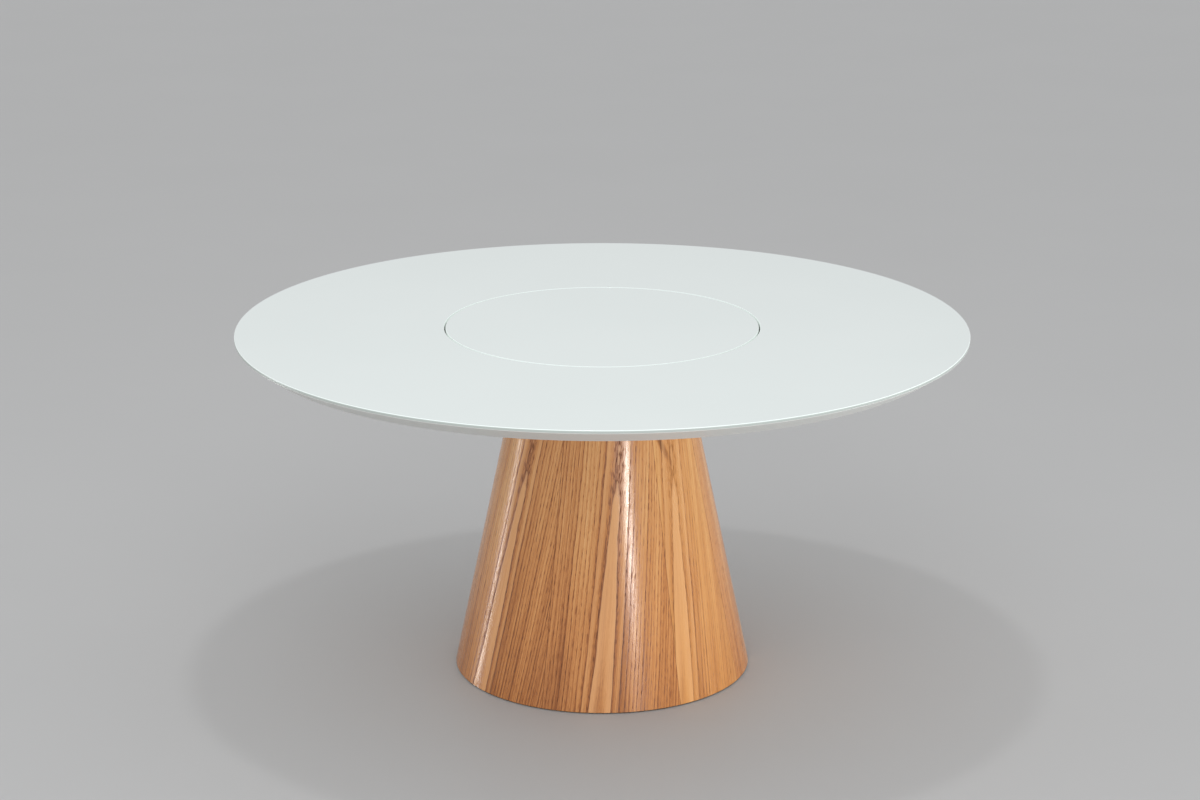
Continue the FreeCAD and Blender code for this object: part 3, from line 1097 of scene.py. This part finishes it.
@dataclass(frozen=True)
class WoodScrew(Fastener):
    """Countersunk screw with a cross recess in its head."""

    recess_reach: float = 0.55
    recess_width: float = 0.14
    recess_depth: float = 0.6
    point_share: float = 2.4

    def _rings(self, length: float) -> list[list[Point]]:
        """Rings from the foot of the recess, over the head and down to the point.

        Args:
            length: Length of the screw.

        Returns:
            The rings, in order.
        """
        sunk = self.recess_depth * self.head_height
        neck = self.head - self.shank
        return [
            self._cross(0.25, sunk),
            self._cross(0.7, 0.8 * sunk),
            self._cross(1.0, 0.0),
            self._ring(0.97 * self.head, 0.0),
            self._ring(self.head, 0.03 * self.head),
            self._ring(self.shank, neck),
            self._ring(self.shank, neck + 1.2 * self.shank),
            self._ring(self.core, neck + 1.5 * self.shank),
            self._ring(self.core, length - self.point_share * self.shank),
            self._ring(0.06 * self.shank, length),
        ]

    def _cross(self, share: float, depth: float) -> list[Point]:
        """Cross-shaped ring of the recess.

        Args:
            share: Size of the ring as a share of the recess.
            depth: Depth below the head's face.

        Returns:
            The ring's points.
        """
        reach = share * self.recess_reach * self.head
        half = share * self.recess_width * self.head
        points = []
        for turn in self.turns:
            aside = abs((turn + math.pi / 4) % (math.pi / 2) - math.pi / 4)
            radius = min(reach / math.cos(aside), half / max(math.sin(aside), TINY))
            points.append((*polar(radius, turn), depth))
        return points

    def _span(self, length: float) -> Pair:
        """The thread runs from under the neck to the point's shoulder."""
        return self.head + self.shank, length - self.point_share * self.shank


@dataclass(frozen=True)
class HexBolt(Fastener):
    """Hexagon bolt, its head chamfered at the corners."""

    chamfer_share: float = 0.93
    chamfer_slope: float = math.tan(math.radians(30))

    def _rings(self, length: float) -> list[list[Point]]:
        """Rings from the middle of the head to the bolt's end.

        Args:
            length: Length of the bolt.

        Returns:
            The rings, in order.
        """
        return [
            self._ring(0.2 * self.head, 0.0),
            self._ring(self.chamfer_share * self.head, 0.0),
            self._hexagon(0.0),
            self._hexagon(self.head_height),
            self._ring(self.shank, self.head_height),
            self._ring(self.shank, self.head_height + self.shank),
            self._ring(self.core, self.head_height + 1.2 * self.shank),
            self._ring(self.core, length - 0.3 * self.shank),
            self._ring(0.8 * self.core, length),
        ]

    def _hexagon(self, depth: float) -> list[Point]:
        """Six-sided ring, lower at its corners where it meets the chamfer.

        Args:
            depth: Depth below the head's face, 0 for the chamfered end.

        Returns:
            The ring's points.
        """
        points = []
        for turn in self.turns:
            aside = abs((turn + math.pi / 6) % (math.pi / 3) - math.pi / 6)
            radius = self.head / math.cos(math.pi / 6 - aside)
            drop = (radius - self.chamfer_share * self.head) * self.chamfer_slope
            points.append((*polar(radius, turn), depth if depth else drop))
        return points

    def _span(self, length: float) -> Pair:
        """The thread runs from below the plain shank to the bolt's end."""
        return self.head_height + 1.6 * self.shank, length - 0.6 * self.shank


@dataclass(frozen=True)
class GlassPane:
    """Round pane of glass, its edges rounded more at the face than at the seat."""

    arris: float = 0.0015
    seat: float = 0.0005

    def lay(self, node: str, opening: float, reach: float) -> None:
        """Turns a pane in the place of a packed one.

        Args:
            node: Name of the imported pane.
            opening: Radius of the hole in the pane, 0 for a full disc.
            reach: Radius of the pane.
        """
        low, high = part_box(node)
        pane = Turning(f"{node}_polished", (
            Corner(opening, low.z, self.seat if opening else 0.0),
            Corner(reach, low.z, self.seat),
            Corner(reach, high.z, self.arris),
            Corner(opening, high.z, self.arris if opening else 0.0),
        )).piece()
        stand_in(pane, node, PaintedGlass(top=high.z, arris=self.arris))


@dataclass(frozen=True)
class GlassTop:
    """Glass ring on lacquered boards, with the stiffening board below."""

    gap: float = 0.0035
    pane: GlassPane = GlassPane()

    def build(self) -> None:
        """Turns the glass ring."""
        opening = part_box("turntable_glass")[1].x + self.gap
        self.pane.lay("glass_ring", opening, clear_reach("glass_ring"))

    def dress(self) -> None:
        """Lacquers the boards."""
        dress(Lacquer(), "ring_board", "floor_board", "sub_top")


@dataclass(frozen=True)
class FixedRace:
    """Fixed ring of the bearing, with the round groove that the balls run in."""

    ball_circle: float = 0.12
    ball_height: float = 0.7605
    groove: float = 0.00275
    opening: float = 0.1208
    chamfer: float = 0.0006
    hole: float = 0.0021
    countersink: float = 0.0041
    groove_steps: int = 16
    drill_segments: int = 32
    sharp_angle: float = math.radians(30)

    def build(self) -> Object:
        """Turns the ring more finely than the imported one, so that the balls run clear of it.

        Returns:
            The ring.
        """
        low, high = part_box("bearing_fixed_race")
        reach = clear_reach("bearing_fixed_race")
        edge = self.chamfer
        corners = [
            Corner(self.opening, low.z + edge),
            Corner(self.opening + edge, low.z),
            Corner(reach - edge, low.z),
            Corner(reach, low.z + edge),
            Corner(reach, high.z - edge),
            Corner(reach - edge, high.z),
            Corner(self.opening + edge, high.z),
            Corner(self.opening, high.z - edge),
        ]
        ring = Turning("bearing_fixed_race_turned", tuple(corners + self._groove())).piece()
        self._drill(ring, low.z, high.z)
        return ring

    def _groove(self) -> list[Corner]:
        """Outline of the groove, from its upper lip to its lower one.

        Returns:
            The outline's corners, in order.
        """
        half = math.acos((self.opening - self.ball_circle) / self.groove)
        corners = []
        for step in range(self.groove_steps + 1):
            out, up = polar(self.groove, half * (1 - 2 * step / self.groove_steps))
            corners.append(Corner(self.ball_circle + out, self.ball_height + up))
        return corners

    def _drill(self, ring: Object, bottom: float, top: float) -> None:
        """Sinks a hole for each screw.

        Args:
            ring: The ring.
            bottom: Height of its lower face.
            top: Height of its upper face.
        """
        ring.modifiers.clear()
        drills = []
        for seat in seats("bearing_screws"):
            drill = Turning("drill", (
                Corner(0.0, bottom - self.chamfer),
                Corner(self.hole, bottom - self.chamfer),
                Corner(self.hole, top - self.countersink + self.hole),
                Corner(self.countersink, top),
                Corner(self.countersink, top + self.chamfer),
                Corner(0.0, top + self.chamfer),
            ), segments=self.drill_segments).piece()
            drill.location = (seat.x, seat.y, 0.0)
            ring.modifiers.new("screw_hole", "BOOLEAN").object = drill
            drills.append(drill)
        cut = ring.evaluated_get(bpy.context.evaluated_depsgraph_get())
        ring.data = bpy.data.meshes.new_from_object(cut)
        ring.data.materials.clear()
        ring.data.set_sharp_from_angle(angle=self.sharp_angle)
        ring.modifiers.clear()
        for drill in drills:
            bpy.data.objects.remove(drill)


@dataclass(frozen=True)
class Turntable:
    """Glass disc on its carrier, and the ball bearing that they turn on."""

    pane: GlassPane = GlassPane()
    race: FixedRace = FixedRace()
    aluminium: TurnedMetal = TurnedMetal("turned_aluminium", srgb(212, 214, 216))

    def build(self) -> None:
        """Turns the bearing's fixed ring and the glass disc."""
        stand_in(self.race.build(), "bearing_fixed_race", self.aluminium)
        self.pane.lay("turntable_glass", 0.0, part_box("turntable_glass")[1].x)

    def dress(self) -> None:
        """Finishes the carrier and the bearing."""
        dress(Lacquer(), "turntable_carrier")
        dress(self.aluminium, "bearing_turning_race")
        dress(PolishedSteel(), "bearing_balls")
        dress(Nylon("natural_nylon", srgb(222, 220, 208)), "bearing_cage")


@dataclass(frozen=True)
class ConeBase:
    """Veneered cone with its panels, ribs and rings. Its angles are in degrees."""

    first_seam: float = -24.7
    closing_angle: float = 34.2
    closing_crown: float = 7.0
    heart: float = 0.08
    first_seed: float = 2.0
    seed_step: float = 0.06
    streak: MineralStreak = MineralStreak(strength=0.6)

    def dress(self) -> None:
        """Lays the veneer and finishes the plywood behind it."""
        *full, closing = numbered("veneer_leaf")
        for number, leaf in enumerate(full):
            dress(self._full_leaf(f"oak_{leaf}", number, len(full)), leaf)
        dress(self._closing_leaf(f"oak_{closing}"), closing)
        dress(Plywood("bending_plywood", Lay.CONE), *numbered("cone_panel"))
        dress(Plywood("rib_plywood", Lay.RIB), *numbered("rib"))
        for plate in ("top_plate", "mid_ring", "bottom_ring"):
            dress(Plywood(f"plywood_{plate}", Lay.FLAT, start=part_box(plate)[0].z), plate)

    def _full_leaf(self, name: str, number: int, count: int) -> OakLeaf:
        """Finish of one of the equal leaves, which turn their darker flanks to each other in pairs.

        Args:
            name: Name of the finish.
            number: Number of the leaf from the first seam, starting at 0.
            count: How many equal leaves there are.

        Returns:
            The finish.
        """
        width = (360 - self.closing_angle) / count
        return OakLeaf(
            name,
            crown=self.first_seam + width * (number + 0.5),
            edges=(-width / 2, width / 2),
            seed=self.first_seed + self.seed_step * number,
            flanks=(self.heart, 0.0) if number % 2 else (0.0, self.heart),
        )

    def _closing_leaf(self, name: str) -> OakLeaf:
        """Finish of the narrower leaf that closes the cone: paler, more golden and lower in contrast, partly
        its own tone and partly painted sheen.

        Args:
            name: Name of the finish.

        Returns:
            The finish.
        """
        return OakLeaf(
            name,
            crown=self.first_seam - self.closing_angle + self.closing_crown,
            edges=(-self.closing_crown, self.closing_angle - self.closing_crown),
            seed=2.4,
            # Paler tone, gold and lower contrast: partly the leaf's own colour, partly a painted sheen where
            # the right lamps fall.
            tone=0.05,
            gold_and_sheen=0.45,
            contrast=0.75,
            mineral=self.streak,
        )


@dataclass(frozen=True)
class Fixings:
    """Screws, bolts, inserts and glides."""

    wood: WoodScrew = WoodScrew(
        shank=0.0025, head=0.005, head_height=0.0025, pitch=0.0025, thread_depth=0.0008)
    bearing: WoodScrew = WoodScrew(
        shank=0.002, head=0.004, head_height=0.002, pitch=0.0018, thread_depth=0.0006)
    glide: WoodScrew = WoodScrew(
        shank=0.0015, head=0.003, head_height=0.0015, pitch=0.0014, thread_depth=0.0005)
    bolt: HexBolt = HexBolt(
        shank=0.004, head=0.0065, head_height=0.0053, pitch=0.00125, thread_depth=0.0006)
    screw_zinc: ZincPlate = ZincPlate("yellow_zinc", srgb(206, 196, 164), srgb(188, 188, 182))
    bolt_zinc: ZincPlate = ZincPlate("blue_zinc", srgb(186, 192, 198), srgb(206, 208, 208))

    def build(self) -> None:
        """Draws the screws and bolts with their recesses, threads and chamfers."""
        screws = {
            "sub_top_screws": self.wood,
            "rib_screws": self.wood,
            "carrier_screws": self.bearing,
            "bearing_screws": self.bearing,
            "glide_screws": self.glide,
        }
        for node, screw in screws.items():
            screw.group(node, "zinc_screws", self.screw_zinc)
        self.bolt.group("mounting_bolts", "zinc_bolts", self.bolt_zinc)

    def dress(self) -> None:
        """Plates the washers, turns the inserts and moulds the glides."""
        dress(self.bolt_zinc, "bolt_washers")
        dress(TurnedMetal("turned_brass", srgb(214, 180, 104)), "threaded_inserts")
        dress(Nylon("dark_nylon", srgb(52, 50, 48)), *numbered("glide"))


@dataclass(frozen=True)
class SoftBox:
    """One rectangular studio light, aimed at a point, and whether polished surfaces mirror it."""

    name: str
    place: Point
    size: Pair
    watts: float
    aim: Point = (0.0, 0.0, 0.45)
    mirrored: bool = True

    def hang(self) -> Object:
        """Makes the light and points it.

        Returns:
            The light.
        """
        light = bpy.data.lights.new(self.name, "AREA")
        light.shape = "RECTANGLE"
        light.size, light.size_y = self.size
        light.energy = self.watts
        lamp = add(self.name, light)
        lamp.location = self.place
        lamp.rotation_euler = (Vector(self.aim) - Vector(self.place)).to_track_quat("-Z", "Y").to_euler()
        lamp.visible_camera = False
        lamp.visible_glossy = self.mirrored
        return lamp


@dataclass(frozen=True)
class Studio:
    """Pale floor and plain soft light, whose low lamps leave the floor out."""

    floor_size: float = 60.0
    ambient: float = 0.7
    high: tuple[SoftBox, ...] = (
        SoftBox("overhead", (-0.16, 0.0, 4.7), (0.3, 0.3), watts=18.0, aim=(-0.16, 0.0, 0.0)),
        SoftBox("front_high", (0.0, -3.6, 3.2), (2.4, 1.4), watts=27.0, mirrored=False),
    )
    low: tuple[SoftBox, ...] = (
        SoftBox("front_right", (2.25, -4.61, 1.1), (0.4, 1.2), watts=64.0),
        SoftBox("left", (-3.85, 1.25, 0.0), (0.22, 1.3), watts=10.0),
        SoftBox("right", (3.75, -0.4, 0.1), (1.6, 1.4), watts=60.0, mirrored=False),
        SoftBox("front_left", (-3.0, -3.0, 1.4), (1.4, 1.0), watts=27.0, mirrored=False),
    )

    def build(self) -> None:
        """Lays the floor, hangs the lamps and lights the room."""
        spared = bpy.data.collections.new("not_lit_by_low_lamps")
        spared.objects.link(self._floor())
        spared.collection_objects[0].light_linking.link_state = "EXCLUDE"
        for box in self.high:
            box.hang()
        for box in self.low:
            lamp = box.hang()
            lamp.light_linking.receiver_collection = spared
            lamp.light_linking.blocker_collection = spared
        self._room()

    def _floor(self) -> Object:
        """Lays a flat floor at zero height.

        Returns:
            The floor.
        """
        half = self.floor_size / 2
        data = bpy.data.meshes.new("studio_floor")
        corners = [(-half, -half, 0), (half, -half, 0), (half, half, 0), (-half, half, 0)]
        data.from_pydata(corners, [], [(0, 1, 2, 3)])
        data.materials.append(FloorPaint().material())
        floor = add("studio_floor", data)
        return floor

    def _room(self) -> None:
        """Gives the room its even light and the picture its plain colours."""
        world = bpy.data.worlds.new("room")
        world.use_nodes = True
        grey = (self.ambient, self.ambient, self.ambient, 1.0)
        world.node_tree.nodes["Background"].inputs["Color"].default_value = grey
        bpy.context.scene.world = world
        bpy.context.scene.view_settings.view_transform = "Standard"


@dataclass(frozen=True)
class PhotoCamera:
    """Camera at the photograph's viewing angle, its lens and sensor in millimetres, its turns in radians."""

    lens: float = 83.63
    sensor: float = 36.0
    distance: float = 5.907
    height: float = 2.3223
    down: float = 0.2823
    turn: float = 0.0008

    def build(self) -> None:
        """Places the camera in front of the table."""
        data = bpy.data.cameras.new("photo_camera")
        data.lens = self.lens
        data.sensor_width = self.sensor
        camera = add("photo_camera", data)
        camera.location = (0.0, -self.distance, self.height)
        camera.rotation_euler = Euler((math.pi / 2 - self.down, 0.0, self.turn))
        bpy.context.scene.camera = camera


def main() -> None:
    """Builds the table's looks, the studio and the camera."""
    logging.basicConfig(level=logging.INFO, format="%(name)s: %(message)s")
    top = GlassTop()
    top.build()
    top.dress()
    turntable = Turntable()
    turntable.build()
    turntable.dress()
    ConeBase().dress()
    fixings = Fixings()
    fixings.build()
    fixings.dress()
    Studio().build()
    PhotoCamera().build()


if __name__ == "__main__":
    main()
